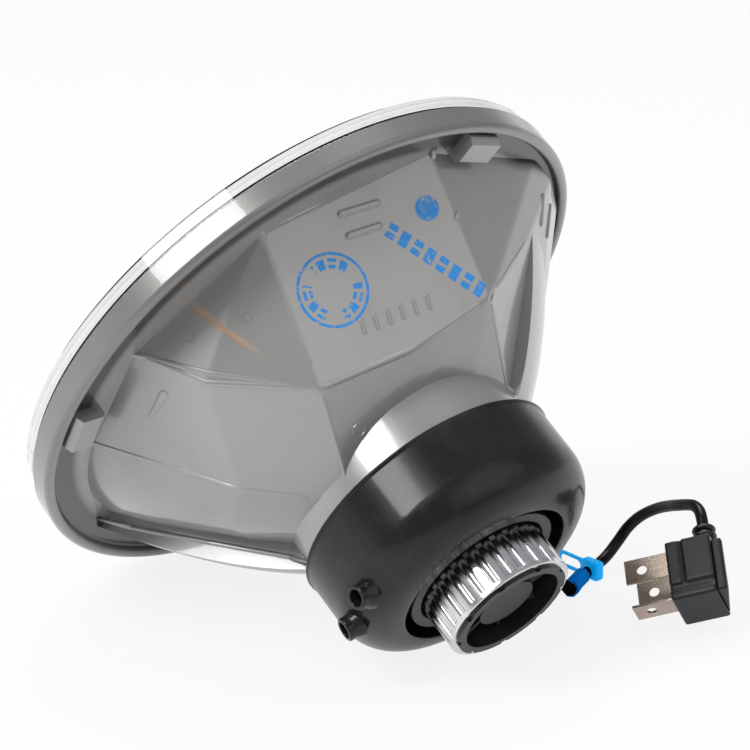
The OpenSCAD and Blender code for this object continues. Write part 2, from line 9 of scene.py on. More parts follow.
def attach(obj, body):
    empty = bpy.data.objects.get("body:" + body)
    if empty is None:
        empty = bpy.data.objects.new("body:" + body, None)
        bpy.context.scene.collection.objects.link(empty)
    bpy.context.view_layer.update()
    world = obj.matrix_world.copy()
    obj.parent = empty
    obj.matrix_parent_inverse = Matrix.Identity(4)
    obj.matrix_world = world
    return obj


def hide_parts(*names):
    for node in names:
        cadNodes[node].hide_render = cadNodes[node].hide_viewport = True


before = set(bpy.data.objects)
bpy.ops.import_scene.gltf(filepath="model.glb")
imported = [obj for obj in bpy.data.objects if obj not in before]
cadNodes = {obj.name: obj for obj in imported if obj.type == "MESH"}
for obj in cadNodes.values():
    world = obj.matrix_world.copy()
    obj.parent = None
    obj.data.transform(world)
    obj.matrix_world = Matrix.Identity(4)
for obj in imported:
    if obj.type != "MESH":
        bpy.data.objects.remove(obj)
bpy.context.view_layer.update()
print("frame loaded,", len(cadNodes), "nodes")

# How the lamp lies, the same as in the part's source
lampLie = {"tilt": 32.1512, "roll": 38, "y": 24.125, "z": 78.570}
lampPlace = (Matrix.Scale(0.001, 4) @ Matrix.Translation((0, lampLie["y"], lampLie["z"]))
             @ Matrix.Rotation(math.radians(90 + lampLie["tilt"]), 4, "X")
             @ Matrix.Rotation(math.radians(lampLie["roll"]), 4, "Z"))
lampAxis = (lampPlace.to_3x3() @ Vector((0, 0, 1))).normalized()


def lying(radius, fromDown, depth):
    angle = math.radians(180 - lampLie["roll"] - fromDown)
    return lampPlace @ Vector((-radius * math.sin(angle), radius * math.cos(angle), depth))


# Camera

cameraSet = {"place": (-0.602477, -0.702478, 0.419935), "ahead": (0.613640, 0.707024, -0.351515), "lens": 168,
             "sensor": 36, "near": 0.05, "far": 50, "photo": 750}


def makeCamera():
    data = bpy.data.cameras.new("viewCamera")
    data.lens = cameraSet["lens"]
    data.sensor_width = cameraSet["sensor"]
    data.clip_start, data.clip_end = cameraSet["near"], cameraSet["far"]
    camera = bpy.data.objects.new("viewCamera", data)
    ahead = Vector(cameraSet["ahead"]).normalized()
    camera.location = cameraSet["place"]
    camera.rotation_euler = ahead.to_track_quat("-Z", "Y").to_euler()
    bpy.context.scene.collection.objects.link(camera)
    bpy.context.scene.camera = camera
    return ahead


lookAhead = makeCamera()
lookRight = lookAhead.cross(Vector((0, 0, 1))).normalized()
lookUp = lookRight.cross(lookAhead)
lookStart = Vector(cameraSet["place"])


def lookAt(x, y):  # direction through a point of the photograph, in its pixels
    span, middle = cameraSet["photo"] * cameraSet["lens"] / cameraSet["sensor"], cameraSet["photo"] / 2
    return (lookAhead + lookRight * ((x - middle) / span) - lookUp * ((y - middle) / span)).normalized()


print("camera set")


# Shader helpers

class Signal:  # a socket that takes part in sums
    def __init__(self, paint, socket):
        self.paint, self.socket = paint, socket

    def combine(self, operation, *others):
        node = self.paint.tree.nodes.new("ShaderNodeMath")
        node.operation = operation
        for slot, value in zip(node.inputs, others):
            if isinstance(value, Signal):
                self.paint.tree.links.new(value.socket, slot)
            else:
                slot.default_value = value
        return Signal(self.paint, node.outputs[0])

    def __add__(self, other):
        return self.combine("ADD", self, other)

    def __sub__(self, other):
        return self.combine("SUBTRACT", self, other)

    def __mul__(self, other):
        return self.combine("MULTIPLY", self, other)

    def __pow__(self, other):
        return self.combine("POWER", self, other)

    def __lt__(self, other):
        return self.combine("LESS_THAN", self, other)

    def __gt__(self, other):
        return self.combine("GREATER_THAN", self, other)

    def __abs__(self):
        return self.combine("ABSOLUTE", self)

    def __or__(self, other):  # the larger of two masks
        return self.combine("MAXIMUM", self, other)

    def __mod__(self, other):
        return self.combine("FLOORED_MODULO", self, other)


class Paint:  # one material
    def __init__(self, name, **constants):
        self.material = bpy.data.materials.new(name)
        self.material.use_nodes = True
        self.tree = self.material.node_tree
        self.shader = self.tree.nodes["Principled BSDF"]
        for socket, value in constants.items():
            self.shader.inputs[socket.replace("_", " ")].default_value = value

    def add(self, kind, settings=None, sockets=None, output=0):
        node = self.tree.nodes.new(kind)
        for key, value in (settings or {}).items():
            if key == "stops":
                for index, (place, colour) in enumerate(value):
                    ramp = node.color_ramp.elements
                    stop = ramp[index] if index < 2 else ramp.new(place)
                    stop.position, stop.color = place, colour
            else:
                setattr(node, key, value)
        for key, value in (sockets or {}).items():
            if isinstance(value, Signal):
                self.tree.links.new(value.socket, node.inputs[key])
            else:
                node.inputs[key].default_value = value
        return Signal(self, node.outputs[output])

    def link(self, **signals):
        for socket, signal in signals.items():
            self.tree.links.new(signal.socket, self.shader.inputs[socket.replace("_", " ")])

    def place(self):
        return self.add("ShaderNodeTexCoord", output="Object")

    def noise(self, scale, detail=3, roughness=0.5, vector=None):
        return self.add("ShaderNodeTexNoise", {}, {"Scale": scale, "Detail": detail, "Roughness": roughness,
                                                    "Vector": vector or self.place()}, "Fac")

    def mix(self, first, second, factor):
        return self.add("ShaderNodeMix", {"data_type": "RGBA"}, {6: first, 7: second, 0: factor}, 2)

    def along(self, direction, start=(0, 0, 0)):  # distance along a direction from a start
        moved = self.vector("SUBTRACT", self.place(), tuple(start))
        return self.vector("DOT_PRODUCT", moved, tuple(direction), "Value")

    def vector(self, operation, first, second, output=0):
        return self.add("ShaderNodeVectorMath", {"operation": operation}, {0: first, 1: second}, output)

    def range(self, signal, low, high, first=0, last=1):
        return self.add("ShaderNodeMapRange", {}, {"Value": signal, "From Min": low, "From Max": high,
                                                   "To Min": first, "To Max": last})

    def relief(self, height, depth):  # depth in metres
        return self.add("ShaderNodeBump", {}, {"Height": height, "Distance": depth, "Strength": 1})


def tint(hexText):
    channels = [int(hexText[i:i + 2], 16) / 255 for i in (0, 2, 4)]
    return tuple(c / 12.92 if c <= 0.04045 else ((c + 0.055) / 1.055) ** 2.4 for c in channels) + (1.0,)


# A finish with its grain, its blotches and some edge to its gloss
def finish(name, colour, second, rough, roughSpread, metal=0.0, grain=900, grainDepth=0.00004,
           blotch=60, stretch=None, **constants):
    paint = Paint(name, Metallic=metal, **constants)
    spot = paint.place()
    if stretch:
        spot = paint.vector("MULTIPLY", spot, stretch)
    wide, fine = paint.noise(blotch, 4, 0.55), paint.noise(grain, 3, 0.6, spot)
    patches = paint.range(wide * 0.7 + fine * 0.3, 0.35, 0.65)
    worn = paint.range(wide * 0.5 + fine * 0.5, 0.3, 0.7, rough - roughSpread, rough + roughSpread)
    paint.link(Base_Color=paint.mix(tint(colour), tint(second), patches), Roughness=worn,
               Normal=paint.relief(fine, grainDepth))
    return paint.material


# Mesh helpers

def meshPiece(name, bm, place, materials, body="lamp", sharp=28, weighted=True):
    bmesh.ops.recalc_face_normals(bm, faces=bm.faces)
    mesh = bpy.data.meshes.new(name)
    bm.to_mesh(mesh)
    bm.free()
    mesh.transform(place)
    return dress(name, mesh, materials, body, sharp, weighted)


def dress(name, mesh, materials, body, sharp, weighted):
    piece = bpy.data.objects.new(name, mesh)
    bpy.context.scene.collection.objects.link(piece)
    mesh.materials.clear()
    for material in materials:
        mesh.materials.append(material)
    mesh.shade_smooth()
    mesh.set_sharp_from_angle(angle=math.radians(sharp))
    if weighted:
        fair = piece.modifiers.new("fair", "WEIGHTED_NORMAL")
        fair.keep_sharp = True
    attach(piece, body)
    return piece


def applied(piece):  # the piece's mesh with its modifiers worked in
    bpy.context.view_layer.update()
    seen = piece.evaluated_get(bpy.context.evaluated_depsgraph_get())
    mesh = bpy.data.meshes.new_from_object(seen)
    piece.modifiers.clear()
    piece.data = mesh
    return mesh


def lathe(bm, profile, steps=160, start=0.0, sweep=360.0, shut=False):
    whole = sweep >= 360
    count = steps if whole else steps + 1
    rings = []
    for radius, depth in profile:
        if radius < 1e-6:
            rings.append([bm.verts.new((0, 0, depth))] * count)
            continue
        turns = [math.radians(start + sweep * i / steps) for i in range(count)]
        rings.append([bm.verts.new((-radius * math.sin(t), radius * math.cos(t), depth)) for t in turns])
    pairs = list(zip(rings, rings[1:])) + ([(rings[-1], rings[0])] if shut else [])
    for low, high in pairs:
        for i in range(steps):
            j = (i + 1) % count
            corners = []
            for vertex in (low[i], low[j], high[j], high[i]):
                if vertex not in corners:
                    corners.append(vertex)
            if len(corners) > 2:
                bm.faces.new(corners)
    return rings


def capEnds(bm, rings):  # flat ends of a part turn
    for side in (0, -1):
        corners = []
        for ring in rings:
            if ring[side] not in corners:
                corners.append(ring[side])
        bm.faces.new(corners)


def block(bm, outline, low, high):  # an outline in local Y and Z, drawn along local X
    ends = [[bm.verts.new((x, y, z)) for y, z in outline] for x in (low, high)]
    faces = [bm.faces.new(ends[0]), bm.faces.new(ends[1])]
    for i in range(len(outline)):
        j = (i + 1) % len(outline)
        faces.append(bm.faces.new((ends[0][i], ends[0][j], ends[1][j], ends[1][i])))
    return faces


def bevelEdges(bm, width, steps, above, faces=None):  # edges sharper than an angle
    pool = {e for f in faces for e in f.edges} if faces else bm.edges
    edges = [e for e in pool if len(e.link_faces) == 2 and e.calc_face_angle(0) > math.radians(above)]
    bmesh.ops.bevel(bm, geom=edges, offset=width, segments=steps, profile=0.6, affect="EDGES",
                    clamp_overlap=True)


def arc(middle, radius, first, last, steps):
    turns = [math.radians(first + (last - first) * i / steps) for i in range(steps + 1)]
    return [(middle[0] + radius * math.cos(t), middle[1] + radius * math.sin(t)) for t in turns]


# A copy of a solid's mesh with its edges rounded, which stands for the solid
def softCopy(node, name, material, width, steps, above, body="lamp", sharp=40, extra=None):
    bm = bmesh.new()
    bm.from_mesh(cadNodes[node].data)
    if extra:
        extra(bm)
    bmesh.ops.remove_doubles(bm, verts=bm.verts, dist=1e-6)
    bmesh.ops.dissolve_limit(bm, angle_limit=math.radians(1), verts=bm.verts, edges=bm.edges)
    bevelEdges(bm, width, steps, above)
    piece = meshPiece(name, bm, Matrix.Identity(4), [material], body, sharp)
    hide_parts(node)
    return piece


# The lead, along its own route of points in millimetres, as in the part's source

leadSet = {"diameter": 0.0034, "between": 6, "shine": 0.45, "dull": 0.069, "bright": 0.075}
leadRoute = [lying(25.5, 290, 98), lying(30.5, 290, 98)] + [Vector(p) / 1000 for p in (
    (33.5, -51.5, 15.2), (38.5, -48, 11.6), (43.5, -43.5, 8), (49, -38.5, 5), (55, -34, 3.6),
    (61.5, -30.5, 3), (68.5, -28, 2.7), (75, -26.5, 3.8), (80.2, -26, 7), (83.6, -27, 11.2),
    (85.5, -30.4, 15.4), (85.9, -36.2, 19.4), (84.7, -42.5, 22.6), (83, -47.6, 24.9), (81.9, -52.2, 26.8),
    (80.9, -56, 28), (79.7, -59.3, 27.9), (78.3, -61.7, 26.8), (76.9, -63.8, 24.9))]


def smoothed(points, between):
    padded = [points[0] * 2 - points[1]] + points + [points[-1] * 2 - points[-2]]
    line = []
    for a, b, c, d in zip(padded, padded[1:], padded[2:], padded[3:]):
        for i in range(between):
            t = i / between
            line.append(0.5 * (b * 2 + (c - a) * t + (a * 2 - b * 5 + c * 4 - d) * t ** 2
                               + (b * 3 - a - c * 3 + d) * t ** 3))
    return line + [points[-1]]


leadLine = smoothed(leadRoute, leadSet["between"])
leadLength = sum((b - a).length for a, b in zip(leadLine, leadLine[1:]))


def tube(name, line, diameter, material):
    curve = bpy.data.curves.new(name, "CURVE")
    curve.dimensions = "3D"
    curve.bevel_depth, curve.bevel_resolution = diameter / 2, 6
    curve.use_fill_caps = True
    spline = curve.splines.new("POLY")
    spline.points.add(len(line) - 1)
    for point, place in zip(spline.points, line):
        point.co = (*place, 1)
    piece = bpy.data.objects.new(name, curve)
    bpy.context.scene.collection.objects.link(piece)
    curve.materials.append(material)
    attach(piece, "lamp")
    return piece


def leadPaint():  # dull up to the tag, where the lead would mirror the white surroundings, then glossier
    paint = Paint("leadFinish", Specular_IOR_Level=0.0, Coat_Roughness=0.3)
    wide, fine = paint.noise(60, 4, 0.55), paint.noise(1500, 3, 0.6)
    patches = paint.range(wide * 0.7 + fine * 0.3, 0.35, 0.65)
    coat = paint.range(paint.along(lookRight), leadSet["dull"], leadSet["bright"], 0, leadSet["shine"])
    paint.link(Base_Color=paint.mix(tint("08090a"), tint("101112"), patches),
               Roughness=paint.range(wide * 0.5 + fine * 0.5, 0.3, 0.7, 0.26, 0.4),
               Coat_Weight=coat, Normal=paint.relief(fine, 0.00001))
    return paint.material


lead = tube("leadCord", leadLine, leadSet["diameter"], leadPaint())
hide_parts("lead")
print("lead laid, %.1f mm" % (leadLength * 1000))


# Housing: faceted panels, the round back, the rim with its lugs, and the neck, all sizes in millimetres

housingSet = {"rim": 89, "lip": 7.4, "front": 0.5, "wall": 3.4, "recess": 4.8, "plate": 2, "back": 84,
              "depth": 73.5, "neck": 37.3, "neckEnd": 74, "neckIn": 2.3, "seat": 63, "seatWide": 34.5,
              "hole": 19.5, "ridge": 1.1, "base": 4, "inward": (0.77, 0.65), "step": 101, "side": 97,
              "bulge": 1.2, "rimRound": 1.9, "lipRound": 1.2, "fillet": 0.9}
lugSet = {"angles": (55, -55, 180), "low": 3.8, "top": 9.8, "out": 85.0, "slant": 1.1, "deep": 8.6,
          "half": 6.5, "bevel": 0.9}
# Corners of the panels: angle, depth, and how far each lies outside the round back
baseCorners = [(-79.6, 4, 0.1), (-81.3, 4, 2), (-45, 4, -4.4), (-2.3, 4, -8.5), (36.4, 4, -8.2),
               (66, 4, -8.4)]
farCorners = [(-88, 8, 4.6), (-100, 8, 4.8), (-112, 8, 4.6), (-124, 8, 3), (-136, 8, 1)]
panelCorners = [(-76.5, 25.2, -0.2), (-100, 38, -0.6), (-51, 42.1, 2.9), (-21.6, 45.1, -4), (9, 43.5, 2.2),
                (29, 24.2, -1.5), (52, 43.4, -1.4)]
neckCorners = [(-84, 57.5), (-52, 53.4), (-14.4, 53.1), (6, 54.9), (29, 60.3), (42.6, 59.6), (70, 57),
               (97, 52.5)]
sideEdge = [(4, -5), (19.3, -6.6), (42.6, -9.6), (50.6, -10.5)]
ridgeEdge = [(4, 66, -8.4), (19.3, 61.6, -7.4), (43.4, 52, -1.4), (57.1, 42.6, -2)]


def roundBack(depth):
    return housingSet["back"] * math.sqrt(max(0, 1 - depth / housingSet["depth"]))


def turned(radius, angle, depth):
    t = math.radians(angle)
    return Vector((-radius * math.sin(t), radius * math.cos(t), depth))


def outerCorners(steps):
    points = [(roundBack(z) + out, angle, z) for angle, z, out in baseCorners + farCorners + panelCorners]
    points += [(housingSet["neck"] - housingSet["neckIn"], angle, z) for angle, z in neckCorners]
    for i, ((z, out), (ridgeZ, ridgeAngle, ridgeOut)) in enumerate(zip(sideEdge, ridgeEdge)):
        for k in range(1, steps + 1):
            s = k / steps
            radius = ((roundBack(ridgeZ) + ridgeOut) * (1 - s) + (roundBack(z) + out) * s
                      + housingSet["bulge"] * min(1, 0.4 + i) * math.sin(math.pi * s))
            points.append((radius, ridgeAngle + (housingSet["side"] - ridgeAngle) * s,
                           ridgeZ + (z - ridgeZ) * s))
    return points


def hullSolid(points):
    bm = bmesh.new()
    verts = [bm.verts.new(turned(*p)) for p in points]
    made = bmesh.ops.convex_hull(bm, input=verts)
    loose = {v for v in made["geom_interior"] + made["geom_unused"] if isinstance(v, bmesh.types.BMVert)}
    bmesh.ops.delete(bm, geom=list(loose), context="VERTS")
    bmesh.ops.dissolve_limit(bm, angle_limit=math.radians(0.6), verts=bm.verts, edges=bm.edges)
    return bm


def roundSolid(radiusIn, depthIn, first, last, angle, shift):
    bm = bmesh.new()
    base, rows = housingSet["base"], 40
    profile = [(0, first), (roundBack(base + depthIn) - radiusIn, first)]
    for i in range(rows + 1):
        depth = base + (last - base) * i / rows
        profile.append((roundBack(depth + depthIn) - radiusIn, depth))
    rings = lathe(bm, profile + [(0, last)], 96, angle, 180)
    capEnds(bm, rings)
    bmesh.ops.translate(bm, verts=bm.verts, vec=turned(1, angle + 90, 0) * shift)
    return bm


def cylinderSolid(radius, low, high):
    bm = bmesh.new()
    lathe(bm, [(0, low), (radius, low), (radius, high), (0, high)])
    return bm


def rimSolid():
    rim, wall, lip, front, plate, recess = (
        housingSet[k] for k in ("rim", "wall", "lip", "front", "plate", "recess"))
    outer, inner, fillet = (housingSet[k] for k in ("rimRound", "lipRound", "fillet"))
    inside = roundBack(housingSet["base"]) - 16
    profile = [(inside, plate), (81, plate), (82.4, 0), (84.3, 0), (84.3, 1.4), (88.1, 1.4), (88.1, -front),
               (rim - 0.3, -front), (rim, 0.3 - front)]
    profile += arc((rim - outer, lip - outer), outer, 0, 90, 10)
    profile += arc((rim - wall + inner, lip - inner), inner, 90, 180, 8)
    profile += [(rim - wall, recess + fillet)]
    profile += arc((rim - wall - fillet, recess + fillet), fillet, -20, -90, 4) + [(inside, recess)]
    bm = bmesh.new()
    lathe(bm, profile, 288, shut=True)
    return bm


def lugSolid(angle):
    bm = bmesh.new()
    low, top, out, slant, deep, half = (lugSet[k] for k in ("low", "top", "out", "slant", "deep", "half"))
    block(bm, [(out, low), (out, top - 2 * slant), (out - slant, top), (out - deep + slant, top),
               (out - deep, top - slant), (out - deep, low)], -half, half)
    bevelEdges(bm, lugSet["bevel"], 4, 25)
    bmesh.ops.rotate(bm, verts=bm.verts, matrix=Matrix.Rotation(math.radians(angle), 3, "Z"))
    return bm


def plainObject(name, bm, material):
    bmesh.ops.recalc_face_normals(bm, faces=bm.faces)
    mesh = bpy.data.meshes.new(name)
    bm.to_mesh(mesh)
    bm.free()
    mesh.materials.append(material)
    piece = bpy.data.objects.new(name, mesh)
    bpy.context.scene.collection.objects.link(piece)
    return piece


def shapeHousing(outside, mirror):
    bm = hullSolid(outerCorners(20))
    bevelEdges(bm, housingSet["ridge"], 3, 5)
    body = plainObject("housingShape", bm, outside)
    body.data.materials.append(mirror)
    base, wall, step = (housingSet[k] for k in ("base", "wall", "step"))
    joined = [plainObject("roundBack", roundSolid(0, 0, base, 60, step, 0), outside),
              plainObject("neckTube", cylinderSolid(housingSet["neck"], 34, housingSet["neckEnd"]), outside),
              plainObject("rimRing", rimSolid(), outside)]
    joined += [plainObject("lug%d" % i, lugSolid(a), outside) for i, a in enumerate(lugSet["angles"])]
    radiusIn, depthIn = (wall * share for share in housingSet["inward"])
    inner = [(r - radiusIn, angle, z - depthIn) for r, angle, z in outerCorners(10)]
    inner += [(r, angle, -1) for r, angle, z in inner if z < base]
    inner += [(58.8, 130, -1), (30.2, 130, 36.7), (58.8, -110, -1), (30.2, -110, 36.7)]
    cut = [plainObject("bowlPanels", hullSolid(inner), mirror),
           plainObject("bowlRound", roundSolid(radiusIn, depthIn, -1, 55, step, wall), mirror),
           plainObject("bulbHole", cylinderSolid(housingSet["hole"], 24, 76), outside),
           plainObject("seatCut", cylinderSolid(housingSet["seatWide"], housingSet["seat"], 80), outside)]
    for tool, operation in [(t, "UNION") for t in joined] + [(t, "DIFFERENCE") for t in cut]:
        joint = body.modifiers.new(tool.name, "BOOLEAN")
        joint.object, joint.operation = tool, operation
        joint.solver, joint.material_mode = "EXACT", "TRANSFER"
    mesh = applied(body)
    for tool in joined + cut + [body]:
        bpy.data.objects.remove(tool)
    return mesh


# Ink and crayon marks lie on the panels where a line of sight meets them
def meet(x, y):
    place, normal, _, _ = sightTree.ray_cast(lookStart, lookAt(x, y))
    return place, normal


def panelAxes(x, y, towards):
    place, normal = meet(x, y)
    across = (meet(*towards)[0] - place)
    across = (across - normal * across.dot(normal)).normalized()
    return place, normal, across, normal.cross(across)


housingFinish = Paint("housingLacquer", Metallic=0.4, IOR=1.5, Coat_Weight=0.8, Coat_Roughness=0.045)
mirrorFinish = finish("reflectorMirror", "d9dadb", "c9cbcd", 0.12, 0.04, 1.0, grain=300, grainDepth=0.00001)
housingMesh = shapeHousing(housingFinish.material, mirrorFinish)
housingMesh.transform(lampPlace)
sightTree = BVHTree.FromPolygons([v.co for v in housingMesh.vertices],
                                 [tuple(p.vertices) for p in housingMesh.polygons])
print("housing shaped,", len(housingMesh.polygons), "faces")

ribSet = [  # ends on the photograph, width at both ends and height in millimetres
    ((341, 214), (377, 203), 2.2, 2.2, 0.7), ((349, 236), (379, 226), 2.2, 2.2, 0.7),
    ((149, 418), (164, 395), 0.9, 3.0, 0.35), ((543, 196), (541, 224), 1.6, 1.6, 0.6),
    ((550, 206), (547, 236), 1.6, 1.6, 0.6), ((434, 149), (433, 157), 1.8, 1.4, 0.6),
    ((457, 214), (456, 218), 1.3, 1.3, 0.6), ((262, 232), (264, 236), 1.8, 1.6, 0.6)]
ribSet += [((365 + 13 * i, 333 - 5 * i), (361 + 13 * i, 320 - 5 * i), 1.0, 1.0, 0.4) for i in range(6)]
ringSet = [(247, 318, 1.3), (190, 338, 1.3), (359, 430, 1.9)]


def addRib(bm, start, end, startWidth, endWidth, height):  # a bar with round ends and a round back
    first, normal = meet(*start)
    last, _ = meet(*end)
    length = (last - first).length
    along = (last - first) / length
    side = normal.cross(along).normalized()
    grown = [(1 - t, math.sqrt(1 - (1 - t) ** 2)) for t in (0.03, 0.15, 0.35, 0.65, 1)]
    stations = [(-startWidth * 0.0005 * back, startWidth, grow) for back, grow in grown]
    stations += [(length + endWidth * 0.0005 * back, endWidth, grow) for back, grow in reversed(grown)]
    rings = []
    for distance, width, grow in stations:
        middle = first + along * distance
        half, tall = width * 0.0005 * grow, height * 0.001 * grow
        turns = [math.pi * k / 8 for k in range(9)]
        ring = [middle + side * half * math.cos(t) + normal * tall * math.sin(t) ** 0.7 for t in turns]
        ring += [middle - side * half - normal * 0.0004, middle + side * half - normal * 0.0004]
        rings.append([bm.verts.new(point) for point in ring])
    for a, b in zip(rings, rings[1:]):
        for k in range(len(a)):
            j = (k + 1) % len(a)
            bm.faces.new((a[k], a[j], b[j], b[k]))
    bm.faces.new(rings[0])
    bm.faces.new(rings[-1])


# Raised beads on the panels' edges, through the corners, with their radius and how far they stand proud
def neckCorner(index):
    angle, depth = neckCorners[index]
    return angle, depth, housingSet["neck"] - housingSet["neckIn"] - roundBack(depth)


ridgeBeads = [
    ([baseCorners[3], panelCorners[4]], 1.6, 0.18), ([baseCorners[4], panelCorners[4]], 1.0, 0.3),
    ([baseCorners[4], panelCorners[5], panelCorners[4]], 1.2, 0.36),
    ([panelCorners[4], panelCorners[3], panelCorners[2]], 1.2, 0.36),
    ([panelCorners[4], neckCorner(4)], 1.1, 0.24),
    ([panelCorners[0], panelCorners[2]], 1.2, 0.2), ([panelCorners[2], neckCorner(0)], 1.0, 0.2),
    ([(angle, depth, out) for depth, angle, out in ridgeEdge], 1.0, 0.34)]
lineBeads = [
    ([(268, 231), (290, 219), (312, 208), (328, 201)], 1.0, 0.3),
    ([(96, 519), (130, 527), (180, 537), (240, 548), (290, 557), (311, 563)], 0.9, 0.45)]


def ridgeStations(corners):
    out = []
    places = [turned(roundBack(depth) + proud, angle, depth) for angle, depth, proud in corners]
    for first, last in zip(places, places[1:]):
        for i in range(12):
            local = first.lerp(last, i / 12)
            away = (Vector((local.x, local.y, 0)).normalized() + Vector((0, 0, 1))).normalized()
            away = (lampPlace.to_3x3() @ away).normalized()
            place = sightTree.ray_cast(lampPlace @ local + away * 0.005, -away)[0]
            out.append((place, away))
    return out


def addBead(bm, stations, radius, proud):
    radius, proud = radius * 0.001, proud * 0.001
    rings, turns = [], [math.tau * k / 14 for k in range(14)]
    for i, (place, normal) in enumerate(stations):
        before, after = stations[max(0, i - 1)][0], stations[min(len(stations) - 1, i + 1)][0]
        along = (after - before).normalized()
        side = normal.cross(along).normalized()
        up = along.cross(side)
        grow = 0.55 if i in (0, len(stations) - 1) else 1
        middle = place - up * (radius - proud)
        rings.append([bm.verts.new(middle + (side * math.cos(t) + up * math.sin(t)) * radius * grow)
                      for t in turns])
    for a, b in zip(rings, rings[1:]):
        for k in range(len(turns)):
            j = (k + 1) % len(turns)
            bm.faces.new((a[k], a[j], b[j], b[k]))
    bm.faces.new(rings[0])
    bm.faces.new(rings[-1])


def addRing(bm, x, y, radius):
    middle, normal = meet(x, y)
    side = normal.orthogonal().normalized()
    other = normal.cross(side)
    wire, turns = 0.00022, 40
    rings = []
    for i in range(turns):
        t = math.tau * i / turns
        out = side * math.cos(t) + other * math.sin(t)
        rings.append([bm.verts.new(middle + out * (radius * 0.001 + wire * math.cos(math.tau * k / 6))
                                   + normal * wire * math.sin(math.tau * k / 6)) for k in range(6)])
    for a, b in zip(rings, rings[1:] + rings[:1]):
        for k in range(6):
            j = (k + 1) % 6
            bm.faces.new((a[k], a[j], b[j], b[k]))


def dressHousing():
    bm = bmesh.new()
    bm.from_mesh(housingMesh)
    marks = bmesh.new()
    for rib in ribSet:
        addRib(marks, *rib)
    for corners, radius, proud in ridgeBeads:
        addBead(marks, ridgeStations(corners), radius, proud)
    for pixels, radius, proud in lineBeads:
        addBead(marks, [meet(*pixel) for pixel in pixels], radius, proud)
    for x, y, radius in ringSet:
        addRing(marks, x, y, radius)
    bmesh.ops.recalc_face_normals(marks, faces=marks.faces)
    spare = bpy.data.meshes.new("spare")
    marks.to_mesh(spare)
    marks.free()
    bm.from_mesh(spare)
    bpy.data.meshes.remove(spare)
    mesh = bpy.data.meshes.new("reflectorHousing")
    bm.to_mesh(mesh)
    bm.free()
    piece = dress("reflectorHousing", mesh, [housingFinish.material, mirrorFinish], "lamp", 24, True)
    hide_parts("reflector_housing")


# Places and directions on the photograph, sizes on the panel in metres, cuts along the turn or the row
inkSet = {"ring": ((333, 290), (345, 255)), "radius": 0.0100, "line": 0.00042, "block": 0.0073,
          "blockHalf": 0.0014, "gap": 0.0004, "cuts": (2.2282, 0.4775, 1.1141),
          "dot": ((427, 208), (427, 190)), "dotEdge": (0.0038, 0.0033),
          "row": ((434, 259), (478, 288)), "rowHalf": (0.0165, 0.0022), "rowCuts": (238, 119),
          "reach": 0.003}


def inkAxes(paint, name):  # distances across, up and out from a mark's middle
    (x, y), towards = inkSet[name]
    place, normal, across, up = panelAxes(x, y, towards)
    return [paint.along(direction, place) for direction in (across, up, normal)]


def inkMasks(paint):
    reach, gap = inkSet["reach"], inkSet["gap"]
    u, v, out = inkAxes(paint, "ring")
    near = abs(out) < reach
    far = (u * u + v * v) ** 0.5
    turn = paint.add("ShaderNodeMath", {"operation": "ARCTAN2"}, {0: u, 1: v})
    rings = (abs(far - inkSet["radius"]) < inkSet["line"])
    letters, words, halves = inkSet["cuts"]
    fromBlock = abs(far - inkSet["block"])
    blocks = (fromBlock < inkSet["blockHalf"]) * (((turn * letters) % 1) > 0.3)
    blocks = blocks * (((turn * words + 0.12) % 1) > 0.3)
    blocks = blocks * ((fromBlock > gap) | (((turn * halves) % 1) > 0.5))
    masks = (rings | blocks) * near
    u, v, out = inkAxes(paint, "dot")
    far = (u * u + v * v) ** 0.5
    worn = paint.range(paint.noise(1100, 3, 0.6) - u * 40, 0.24, 0.44)
    dot = paint.range(far, *inkSet["dotEdge"]) * worn * (abs(out) < reach)
    u, v, out = inkAxes(paint, "row")
    (long, tall), (letters, halves) = inkSet["rowHalf"], inkSet["rowCuts"]
    row = (abs(u) < long) * (abs(v) < tall) * ((((u + 1) * letters) % 1) > 0.34) * (abs(out) < reach)
    row = row * (((abs(v) - gap) > 0) | ((((u + 1) * halves) % 1) > 0.5))
    return masks | dot | row


def crayonMask(paint):
    start, end = meet(186, 300)[0], meet(264, 357)[0]
    direction = (end - start).normalized()
    side = direction.cross(meet(225, 330)[1]).normalized()
    u, v = paint.along(direction, start), paint.along(side, start)
    wander = (paint.noise(130, 2) - 0.5) * 0.0012
    length = (end - start).length
    within = paint.range(u, 0, 0.005) * paint.range(u, length, length - 0.007)
    broad = within * paint.range(abs(v + wander), 0.0011, 0.0002)
    return broad, within * paint.range(abs(v + wander - 0.0008), 0.0004, 0.0001)


def aroundLamp(paint):  # distance from the lamp's axis, and depth along it
    depth = paint.along(lampAxis, lampPlace.translation)
    moved = paint.vector("SUBTRACT", paint.place(), lampPlace.translation)
    far = paint.add("ShaderNodeVectorMath", {"operation": "LENGTH"}, {0: moved}, "Value")
    return (far * far - depth * depth) ** 0.5, depth


